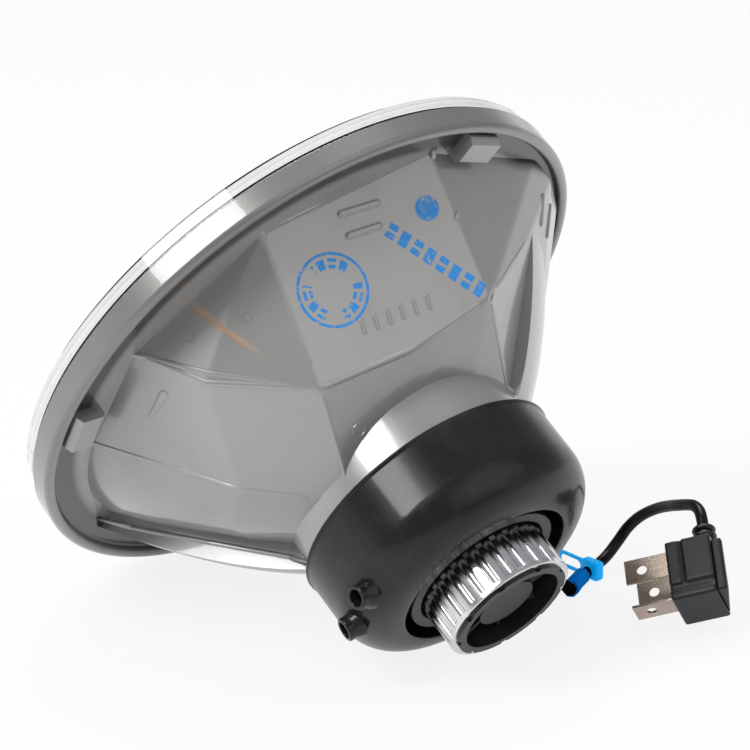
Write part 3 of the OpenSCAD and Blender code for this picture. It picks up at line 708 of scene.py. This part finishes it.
def paintHousing(paint):
    wide, mid, fine = paint.noise(9, 2, 0.4), paint.noise(70, 5, 0.6), paint.noise(2600, 2, 0.6)
    radius, depth = aroundLamp(paint)
    base = paint.mix(tint("9f9e9d"), tint("a9a8a7"), paint.range(wide, 0.35, 0.65))
    base = paint.mix(base, tint("8d8c8b"), paint.range(mid, 0.55, 0.8, 0, 0.35))
    base = paint.mix(base, tint("bdbcba"), paint.range(fine, 0.62, 0.75, 0, 0.25))
    # Painted shade: the rim ring is painted a darker grey than the panels, for the shade it shows under the
    # studio's light.
    rim = paint.range(radius, 0.0765, 0.0785) * paint.range(depth, 0.0085, 0.0070)
    # Painted shade: the recess floor between the rim wall and the panels is painted near-black, where shade
    # falls behind the rim.
    recess = paint.range(radius, 0.0780, 0.0795) * paint.range(radius, 0.0866, 0.0861)
    recess = recess * paint.range(depth, 0.0064, 0.0053)
    # The rim ring's painted shade.
    base = paint.mix(base, tint("757471"), rim * 0.75)
    # The recess's painted shade.
    base = paint.mix(base, tint("38393b"), recess * 0.9)
    broad, thin = crayonMask(paint)
    base = paint.mix(base, tint("bb9268"), broad * 0.55)
    base = paint.mix(base, tint("cf935a"), thin * 0.6)
    ink = inkMasks(paint) * paint.range(paint.noise(700, 4, 0.7), 0.34, 0.44)
    base = paint.mix(base, tint("0c8cde"), ink * 0.94)
    rough = paint.range(mid * 0.6 + fine * 0.4, 0.3, 0.7, 0.28, 0.38)
    skin = paint.relief(paint.noise(330, 3, 0.5) * 0.7 + fine * 0.3, 0.000012)
    paint.link(Base_Color=base, Roughness=rough + ink * 0.15, Normal=skin)
    paint.link(Coat_Weight=paint.range(ink, 0, 1, 0.8, 0.15),
               Metallic=paint.range(ink | broad, 0, 1, 0.4, 0))


paintHousing(housingFinish)
dressHousing()
print("housing dressed")


# Lens: a clear dome on a straight skirt

lensSet = {"outer": 87.8, "inner": 84.6, "skirt": 5.4, "dome": 13, "end": 0.5, "glass": 3.2}


def makeLens():
    outer, inner, end, rows = lensSet["outer"], lensSet["inner"], lensSet["end"], 48

    def dome(radius, edge):
        return -lensSet["skirt"] - lensSet["dome"] * (1 - (radius / edge) ** 2)
    profile = [(outer * i / rows, dome(outer * i / rows, outer)) for i in range(rows + 1)]
    profile += [(outer, end), (inner, end)]
    profile += [(inner * i / rows, dome(inner * i / rows, inner) + lensSet["glass"])
                for i in range(rows, -1, -1)]
    bm = bmesh.new()
    lathe(bm, profile, 240)
    paint = Paint("lensGlass", Transmission_Weight=1.0, IOR=1.47)
    haze = paint.noise(260, 3, 0.5)
    paint.link(Roughness=paint.range(haze, 0.6, 0.8, 0.0, 0.006),
               Base_Color=paint.mix(tint("ffffff"), tint("f4f7f8"), paint.range(haze, 0.4, 0.65)))
    piece = meshPiece("frontLens", bm, lampPlace, [paint.material], sharp=40)
    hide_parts("front_lens")


makeLens()
print("lens made")


# Rubber boot with its two vents

bootSet = {"outer": 40.1, "neck": 37.4, "front": 64.4, "rear": 93.1, "bend": 13, "open": 26.4, "wall": 2.4,
           "vent": 3.5, "bore": 2.4, "ventReach": 2.2, "ventDepth": 86.4, "vents": (90, 68)}


def makeBoot():
    r, front, rear, bend, wall = (bootSet[k] for k in ("outer", "front", "rear", "bend", "wall"))
    hole = bootSet["open"]
    profile = [(bootSet["neck"], front)] + arc((r + 0.05, front + 0.45), 0.45, -90, 60, 6)
    profile += [(r + 0.12, front + 1.1), (r, front + 1.5)]
    profile += arc((r - bend, rear - bend), bend, 0, 88, 26)
    profile += arc((hole + 0.4, rear - 0.4), 0.4, 90, 180, 4)
    profile += [(hole, rear - 2.4 * wall), (hole + 0.7, rear - 2.4 * wall)]
    profile += arc((r - bend, rear - bend), bend - wall, 78, 0, 14)
    profile += [(r - wall, front + 8.6), (bootSet["neck"], front + 7.6)]
    bm = bmesh.new()
    lathe(bm, profile, 200, shut=True)
    for fromDown in bootSet["vents"]:
        spare = bmesh.new()
        vent, bore = bootSet["vent"], bootSet["bore"]
        outline = [(bore, 37.4), (vent + 0.9, 37.4), (vent + 0.55, 38.8), (vent + 0.12, 39.8), (vent, 40.4)]
        tip = r + bootSet["ventReach"]
        outline += arc((vent - 0.5, tip - 0.5), 0.5, 0, 90, 5) + arc((bore + 0.3, tip - 0.3), 0.3, 90, 180, 3)
        outline += [(bore, 38.0), (0, 38.0)]
        lathe(spare, outline, 48)
        turn = Matrix.Rotation(math.radians(180 - lampLie["roll"] - fromDown), 4, "Z")
        outward = Matrix.Rotation(math.radians(-90), 4, "X")
        spare.transform(turn @ Matrix.Translation((0, 0, bootSet["ventDepth"])) @ outward)
        mesh = bpy.data.meshes.new("spare")
        spare.to_mesh(mesh)
        spare.free()
        bm.from_mesh(mesh)
        bpy.data.meshes.remove(mesh)
    paint = Paint("bootRubber", IOR=1.5, Specular_IOR_Level=0.2, Coat_Weight=0.4, Coat_Roughness=0.1)
    fine, mid, wide = paint.noise(1700, 3, 0.6), paint.noise(170, 5, 0.65), paint.noise(28, 3)
    dust = paint.range(mid * 0.6 + wide * 0.4, 0.52, 0.66)
    base = paint.mix(tint("101112"), tint("1b1c1d"), paint.range(wide * 0.6 + fine * 0.4, 0.35, 0.65))
    base = paint.mix(base, tint("4a4a4b"), dust * 0.16)
    scuffs = paint.noise(90, 6, 0.75, paint.vector("MULTIPLY", paint.place(), (1, 6, 3)))
    paint.link(Base_Color=paint.mix(base, tint("5e5d5b"), paint.range(scuffs, 0.66, 0.74, 0, 0.3)),
               Roughness=paint.range(mid * 0.6 + fine * 0.4, 0.3, 0.7, 0.24, 0.36),
               Normal=paint.relief(fine * 0.6 + mid * 0.4, 0.00003))
    piece = meshPiece("rubberBoot", bm, lampPlace, [paint.material], sharp=38)
    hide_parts("rubber_boot")


makeBoot()
print("boot made")


# Bulb end: heat sink, collar, fan

def paintNode(node, material):
    for index in range(len(cadNodes[node].data.materials)):
        cadNodes[node].data.materials[index] = material
    if not cadNodes[node].data.materials:
        cadNodes[node].data.materials.append(material)


def sinkPaint():
    paint = Paint("sinkAluminium", Metallic=1.0, IOR=1.5)
    depth = paint.along(lampAxis)
    spot = paint.add("ShaderNodeCombineXYZ", {}, {"X": depth * 4200, "Y": paint.noise(30, 2) * 0.4})
    lines = paint.noise(1, 3, 0.6, spot)
    wide, fine = paint.noise(110, 4), paint.noise(1900, 2)
    worn = paint.range(wide * 0.6 + lines * 0.4, 0.35, 0.7)
    paint.link(Base_Color=paint.mix(tint("f4f5f6"), tint("d2d4d6"), worn),
               Roughness=paint.range(lines * 0.6 + fine * 0.4, 0.3, 0.7, 0.1, 0.2),
               Normal=paint.relief(lines, 0.000004))
    return paint.material


endRing = {"outer": 19.42, "inner": 17.0, "low": 103.8, "high": 105.35, "round": 0.35, "frameLip": 17.7,
           "lipStart": 104.8}
sinkMetal = sinkPaint()
softCopy("heat_sink", "heatSink", sinkMetal, 0.00022, 2, 40, sharp=35)


def makeEndRing():  # the turned ring at the end of the fins
    outer, inner, low, high, soft = (endRing[k] for k in ("outer", "inner", "low", "high", "round"))
    profile = [(inner, low), (outer - 0.1, low), (outer, low + 0.2)]
    profile += arc((outer - soft, high - soft), soft, 0, 90, 5) + [(inner, high)]
    bm = bmesh.new()
    lathe(bm, profile, 168, shut=True)
    ring = meshPiece("heatSinkRing", bm, lampPlace, [sinkMetal], sharp=50)


makeEndRing()
collarGrey = finish("collarGrey", "2a2b2d", "3b3c3f", 0.38, 0.07, 0.2, grain=1300)
softCopy("twist_collar", "twistCollar", collarGrey, 0.0003, 2, 50)
fanBlack = finish("fanBlack", "101112", "1e1f21", 0.36, 0.08, grain=1500, grainDepth=0.00003)
fanFrame = softCopy("fan_frame", "fanFrame", fanBlack, 0.0002, 2, 50)


def narrowLip(frameMesh, lip):  # so that the ring of metal shows round the fan's frame
    backToLamp = lampPlace.inverted()
    for vertex in frameMesh.vertices:
        local = backToLamp @ vertex.co
        radius = math.hypot(local.x, local.y)
        if local.z > endRing["lipStart"] and radius > lip:
            local.x, local.y = local.x * lip / radius, local.y * lip / radius
            vertex.co = lampPlace @ local


narrowLip(fanFrame.data, endRing["frameLip"])
hubGrey = finish("hubGrey", "232426", "343538", 0.5, 0.08, grain=1300, grainDepth=0.00006)
softCopy("fan_rotor", "fanRotor", hubGrey, 0.00018, 2, 50, body="fan")
paintNode("fan_motor", finish("motorBrass", "8c6a4a", "6f543c", 0.34, 0.08, 1.0))
print("bulb end dressed")

innerFinishes = {  # parts under the boot, behind the lens and inside the sink
    "lens_seal": finish("sealRubber", "1d1e20", "2b2c2e", 0.6, 0.08),
    "bulb_flange": finish("flangeSteel", "a9abad", "8f9193", 0.3, 0.08, 1.0, stretch=(1, 8, 1)),
    "bulb_base": finish("basePlastic", "202124", "2d2e31", 0.45, 0.08),
    "base_ring": finish("ringRubber", "17181a", "232426", 0.55, 0.08),
    "lamp_stem": finish("stemCopper", "b98a62", "9a6f4d", 0.28, 0.07, 1.0, stretch=(1, 1, 6)),
    "light_chips": finish("chipPhosphor", "e2c33c", "cfa929", 0.35, 0.06, grain=2500),
    "beam_shield": finish("shieldMetal", "cfd1d3", "b4b6b8", 0.22, 0.06, 1.0),
    "retaining_clip": finish("clipWire", "b4b6b8", "96989a", 0.26, 0.06, 1.0),
    "clip_screws": finish("screwSteel", "9c9ea0", "7d7f81", 0.32, 0.07, 1.0),
    "driver_board": finish("boardGreen", "1a5334", "24653f", 0.35, 0.08, grain=700),
    "cord_gland": finish("glandRubber", "141517", "212225", 0.5, 0.08)}
for node, material in innerFinishes.items():
    paintNode(node, material)
print("inner parts painted")


# Plug with its blades, and the tag and the sleeve on the lead

plugSet = {"place": (63.3, -64.1, 13.4), "turn": (51.3, 17.3, 130.7), "face": -1.2, "back": -14.6,
           "low": -12.3, "high": 6.6, "half": 8.5, "voxel": 0.28, "rounds": 26, "reliefX": -11.7,
           "reliefRadius": 3.6,
           "tagHead": (66.6, -29.6, 3.3), "headLow": (1.7, 3.2, 2.9), "headHigh": (1.7, 3.6, 2.9)}
byPlug = (Matrix.Scale(0.001, 4) @ Matrix.Translation(plugSet["place"])
          @ Euler([math.radians(a) for a in plugSet["turn"]], "XYZ").to_matrix().to_4x4())


def addBox(bm, low, high):
    made = bmesh.ops.create_cube(bm, size=1)["verts"]
    for vertex in made:
        vertex.co = [(a + b) / 2 + c * (b - a) for a, b, c in zip(low, high, vertex.co)]
    return made


def roundMoulding(name, boxes, material, node):  # boxes run into one soft moulding
    bm = bmesh.new()
    for low, high in boxes:
        addBox(bm, low, high)
    piece = meshPiece(name, bm, Matrix.Identity(4), [material], weighted=False, sharp=180)
    net = piece.modifiers.new("net", "REMESH")
    net.mode, net.voxel_size, net.use_smooth_shade = "VOXEL", plugSet["voxel"], True
    soft = piece.modifiers.new("soft", "SMOOTH")
    soft.factor, soft.iterations = 0.5, plugSet["rounds"]
    mesh = applied(piece)
    mesh.transform(byPlug)
    mesh.materials.clear()
    mesh.materials.append(material)
    mesh.shade_smooth()
    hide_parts(node)
    return piece


def addTagHead(bm):  # the tag's thick end round the lead
    middle = plugSet["tagHead"]
    low = [(a - b) * 0.001 for a, b in zip(middle, plugSet["headLow"])]
    high = [(a + b) * 0.001 for a, b in zip(middle, plugSet["headHigh"])]
    made = addBox(bm, low, high)
    bevelEdges(bm, 0.0011, 4, 20, {f for v in made for f in v.link_faces})


def plugBoxes():
    face, back, low, high, half = (plugSet[k] for k in ("face", "back", "low", "high", "half"))
    return [((back, -half + 0.8, low + 0.1), (face, half - 0.8, high - 0.1)),
            ((back, -half, -7.3), (-6.1, half, high)),
            ((-5.2, -half + 0.25, -7.3), (face, half - 0.25, high)),
            ((back, -half, low), (face, half, -9.3))]


def makeRelief(material):
    x, r, high = plugSet["reliefX"], plugSet["reliefRadius"], plugSet["high"]
    profile = [(0, -0.3), (r - 0.3, -0.3)]
    for bottom, radius in ((0.0, r), (2.35, r - 0.05), (4.6, r - 0.15)):
        profile += arc((radius - 0.9, bottom + 0.95), 0.9, -80, 80, 8) + [(radius - 0.75, bottom + 1.98)]
    profile += [(2.4, 6.6), (1.9, 6.9), (0, 6.9)]
    bm = bmesh.new()
    lathe(bm, [(a, high + b) for a, b in profile], 64)
    bmesh.ops.translate(bm, verts=bm.verts, vec=(x, 0, 0))
    piece = meshPiece("plugRelief", bm, byPlug, [material], sharp=50)
    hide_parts("plug_relief")
    return piece


plugPlastic = finish("plugPlastic", "141619", "1e2024", 0.36, 0.07, grain=1600, grainDepth=0.00003,
                     blotch=200, Specular_IOR_Level=0.32)
bladeGrain = {"grain": 700, "grainDepth": 0.000012, "stretch": (1, 5, 1)}
bladeMetal = finish("bladeMetal", "b5a698", "9c8e82", 0.28, 0.09, 0.9, **bladeGrain)
# Painted light: the ground blade gets a lighter copy of the blade metal, for the brighter light on that
# blade.
bladeLitCopy = finish("bladeLitCopy", "cdbcb3", "b39f95", 0.3, 0.1, 0.85, **bladeGrain)
# Painted light: the tag glows a little azure, standing in for light through its thin blue plastic.
tagBlueGlow = finish("tagBlueGlow", "10b0ff", "089cf0", 0.34, 0.06, grain=900, Specular_IOR_Level=0.25,
                 Emission_Color=tint("00b0ff"), Emission_Strength=0.4)
# Painted light: the sleeve glows faintly blue as well, standing in for light through it.
sleeveBlueGlow = finish("sleeveBlueGlow", "0b62b4", "0e7bd2", 0.3, 0.06, grain=700, Specular_IOR_Level=0.0,
                    Emission_Color=tint("0a5cb0"), Emission_Strength=0.15)
plugPieces = [
    roundMoulding("plugBody", plugBoxes(), plugPlastic, "plug_body"),
    softCopy("plug_cover", "plugCover", plugPlastic, 0.0009, 4, 30),
    makeRelief(finish("reliefRubber", "0b0c0d", "161719", 0.3, 0.08)),
    softCopy("blade_left", "bladeLeft", bladeMetal, 0.00022, 2, 50),
    softCopy("blade_right", "bladeRight", bladeMetal, 0.00022, 2, 50),
    # The ground blade in the lit copy of the blade metal.
    softCopy("blade_ground", "bladeGround", bladeLitCopy, 0.00022, 2, 50),
    softCopy("lead_tag", "leadTag", tagBlueGlow, 0.0004, 3, 50, extra=addTagHead),
    softCopy("lead_sleeve", "leadSleeve", sleeveBlueGlow, 0.00015, 2, 50)]
print("plug dressed")


# Floor, backdrop and lights

studioSet = {"fill": 0.55, "floorHalf": 6, "floorSeen": 0.85, "floorMirrored": 0.56, "aim": (0, 0, 0.08),
             "floorDark": (0.16, 0.16, 0.165, 1), "white": (1, 1, 1, 1), "glow": 0.95,
             "glowWay": (0.1, -0.79, 0.6), "overhead": (5, 5, 5, 1), "overheadWay": (0.232, 0.372, 0.899)}
lightSet = [  # name, place, width and height, power, and whether it shows in mirrors
    ("keySoft", (-0.87, 0.1, 0.97), (0.42, 0.72), 10, True),
    ("topSoft", (0.28, 0.46, 1.12), (0.45, 0.45), 2.5, True),
    ("sideSoft", (0.9, -0.6, 0.5), (0.5, 0.7), 3, False)]
backdropWay = Vector((0.17, 0.985, 0))  # towards the white backdrop, away from the dark side of the studio


def makeFloor():
    bm = bmesh.new()
    half = studioSet["floorHalf"]
    corners = [bm.verts.new((x * half, y * half, 0)) for x, y in ((-1, -1), (1, -1), (1, 1), (-1, 1))]
    bm.faces.new(corners)
    mesh = bpy.data.meshes.new("floor")
    bm.to_mesh(mesh)
    bm.free()
    floor = bpy.data.objects.new("floor", mesh)
    bpy.context.scene.collection.objects.link(floor)
    paint = Paint("floorWhite", Base_Color=tint("f2f2f2"), Roughness=0.9, Specular_IOR_Level=0.1)
    rays = {kind: paint.add("ShaderNodeLightPath", output="Is %s Ray" % kind)
            for kind in ("Camera", "Glossy", "Transmission")}
    shine = paint.tree.nodes.new("ShaderNodeEmission")
    blend = paint.tree.nodes.new("ShaderNodeMixShader")
    share = rays["Camera"] * studioSet["floorSeen"]
    share = share + (rays["Glossy"] | rays["Transmission"]) * studioSet["floorMirrored"]
    paint.tree.links.new(share.socket, blend.inputs[0])
    bright = paint.range(paint.along(backdropWay), -0.45, -0.1) | rays["Camera"] | rays["Transmission"]
    colour = paint.mix(studioSet["floorDark"], studioSet["white"], bright)
    paint.tree.links.new(colour.socket, shine.inputs["Color"])
    paint.tree.links.new(paint.shader.outputs[0], blend.inputs[1])
    paint.tree.links.new(shine.outputs[0], blend.inputs[2])
    paint.tree.links.new(blend.outputs[0], paint.tree.nodes["Material Output"].inputs[0])
    mesh.materials.append(paint.material)


class Sky(Paint):
    def __init__(self, world):
        self.tree = world.node_tree


def makeSky():
    world = bpy.data.worlds.new("studioWorld")
    bpy.context.scene.world = world
    world.use_nodes = True
    sky = Sky(world)
    ground = world.node_tree.nodes["Background"]
    seen = (sky.add("ShaderNodeLightPath", output="Is Camera Ray")
            | sky.add("ShaderNodeLightPath", output="Is Transmission Ray"))
    mirrored = sky.add("ShaderNodeLightPath", output="Is Glossy Ray")
    facing = sky.add("ShaderNodeTexCoord", output="Generated")
    height = sky.add("ShaderNodeSeparateXYZ", {}, {0: facing}, "Z")
    softStops = [(0.0, (0.35, 0.35, 0.36, 1)), (1.0, (1, 1, 1, 1)), (0.45, (0.42, 0.42, 0.43, 1)),
                 (0.62, (0.8, 0.8, 0.8, 1))]
    studioStops = [(0.0, (0.33, 0.33, 0.34, 1)), (1.0, (0.36, 0.36, 0.37, 1)), (0.5, (0.27, 0.27, 0.28, 1))]
    soft = sky.add("ShaderNodeValToRGB", {"stops": softStops}, {0: sky.range(height, -1, 1)})
    studio = sky.add("ShaderNodeValToRGB", {"stops": studioStops}, {0: height})
    behind, glow, overhead = (sky.vector("DOT_PRODUCT", facing, way, "Value")
                              for way in (backdropWay, studioSet["glowWay"], studioSet["overheadWay"]))
    backdrop = sky.range(behind, -0.02, 0.3) * sky.range(height, 0.3, 0.06)
    white = studioSet["white"]
    studio = sky.mix(studio, white, backdrop | (sky.range(glow, 0.8, 0.97) * studioSet["glow"]))
    studio = sky.mix(studio, studioSet["overhead"], sky.range(overhead, 0.935, 0.96))
    colour = sky.mix(sky.mix(soft, studio, mirrored), white, seen)
    strength = (seen | mirrored) * (1 - studioSet["fill"]) + studioSet["fill"]
    sky.tree.links.new(colour.socket, ground.inputs["Color"])
    sky.tree.links.new(strength.socket, ground.inputs["Strength"])


def makeLight(name, place, size, power, mirrored):
    data = bpy.data.lights.new(name, "AREA")
    data.shape, data.size, data.size_y, data.energy = "RECTANGLE", size[0], size[1], power
    light = bpy.data.objects.new(name, data)
    light.location = place
    aim = Vector(studioSet["aim"]) - Vector(place)
    light.rotation_euler = aim.to_track_quat("-Z", "Y").to_euler()
    light.visible_glossy = mirrored
    bpy.context.scene.collection.objects.link(light)


makeFloor()
makeSky()
for lightRow in lightSet:
    makeLight(*lightRow)
bpy.context.scene.view_settings.view_transform = "Standard"
print("studio set")
